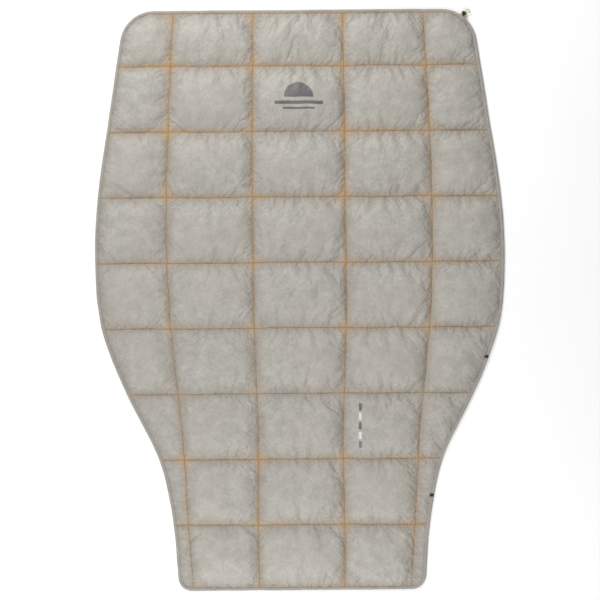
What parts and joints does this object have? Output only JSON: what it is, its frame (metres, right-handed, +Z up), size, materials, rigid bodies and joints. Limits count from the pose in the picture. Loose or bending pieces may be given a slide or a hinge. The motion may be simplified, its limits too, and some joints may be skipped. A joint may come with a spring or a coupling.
{
  "type": "camp quilt",
  "caption": "Sewn-through down camp quilt lying flat, with a neck drawcord and cord lock at the head and press studs for a foot box.",
  "frame": {"origin": "on the resting plane, at the middle of the quilt's length and width", "axes": "+X across the quilt towards the cord lock's side, +Y towards the head end, +Z up out of the shell"},
  "size_m": [1.3402, 1.9, 0.036],
  "materials": {
    "shell_nylon": "satin",
    "lining_nylon": "satin",
    "down": "matte",
    "thread": "satin",
    "cord_braid": "matte",
    "webbing": "matte",
    "lock_plastic": "satin",
    "stud_plastic": "satin",
    "spring_steel": "satin"
  },
  "bodies": {
    "left_outer": {"lining_left_outer": "lining_nylon", "outer_shell_left_outer": "shell_nylon", "cross_stitching_left_outer": "thread", "edge_stitching_left_outer": "thread", "drawcord_left_outer": "cord_braid", "down_left_outer_foot": "down", "down_left_outer_torso": "down", "down_left_outer_head": "down", "press_sockets": "stud_plastic"},
    "left_inner": {"lining_left_inner": "lining_nylon", "outer_shell_left_inner": "shell_nylon", "cross_stitching_left_inner": "thread", "edge_stitching_left_inner": "thread", "drawcord_left_inner": "cord_braid", "down_left_inner_foot": "down", "down_left_inner_torso": "down", "down_left_inner_head": "down", "lengthwise_stitching_left_outer": "thread"},
    "centre": {"lining_centre": "lining_nylon", "outer_shell_centre": "shell_nylon", "cross_stitching_centre": "thread", "edge_stitching_centre": "thread", "drawcord_centre": "cord_braid", "down_centre_foot": "down", "down_centre_torso": "down", "down_centre_head": "down", "lengthwise_stitching_left_inner": "thread", "lengthwise_stitching_right_inner": "thread"},
    "right_inner": {"lining_right_inner": "lining_nylon", "outer_shell_right_inner": "shell_nylon", "cross_stitching_right_inner": "thread", "edge_stitching_right_inner": "thread", "drawcord_right_inner": "cord_braid", "down_right_inner_foot": "down", "down_right_inner_torso": "down", "down_right_inner_head": "down", "lengthwise_stitching_right_outer": "thread"},
    "right_outer": {"lining_right_outer": "lining_nylon", "outer_shell_right_outer": "shell_nylon", "cross_stitching_right_outer": "thread", "edge_stitching_right_outer": "thread", "drawcord_right_outer": "cord_braid", "down_right_outer_foot": "down", "down_right_outer_torso": "down", "down_right_outer_head": "down", "stud_tabs": "webbing", "press_studs": "stud_plastic"},
    "cord_lock": {"cord_lock_body": "lock_plastic", "cord_lock_spring": "spring_steel"},
    "cord_lock_button": {"cord_lock_plunger": "lock_plastic"}
  },
  "joints": [
    {"name": "left_inner_fold", "type": "hinge", "parent": "centre", "child": "left_inner", "pos_m": [-0.146, 0, 0.037], "axis": [0, 1, 0], "range_deg": [0, 90]},
    {"name": "right_inner_fold", "type": "hinge", "parent": "centre", "child": "right_inner", "pos_m": [0.146, 0, 0.037], "axis": [0, -1, 0], "range_deg": [0, 90]},
    {"name": "left_outer_fold", "type": "hinge", "parent": "left_inner", "child": "left_outer", "pos_m": [-0.4053, 0, 0.037], "axis": [-0.0356, 0.9994, 0], "range_deg": [0, 175]},
    {"name": "right_outer_fold", "type": "hinge", "parent": "right_inner", "child": "right_outer", "pos_m": [0.4053, 0, 0.037], "axis": [-0.0356, -0.9994, 0], "range_deg": [0, 175]},
    {"name": "cord_lock_slide", "type": "slide", "parent": "right_outer", "child": "cord_lock", "axis": [0.9063, 0.4226, 0], "range_m": [0, 0.006], "deforming": ["drawcord_right_outer"]},
    {"name": "cord_lock_press", "type": "slide", "parent": "cord_lock", "child": "cord_lock_button", "axis": [0.4226, -0.9063, 0], "range_m": [0, 0.0022], "stiffness_N_per_m": 30, "springref_m": -0.002, "deforming": ["cord_lock_spring"]}
  ]
}
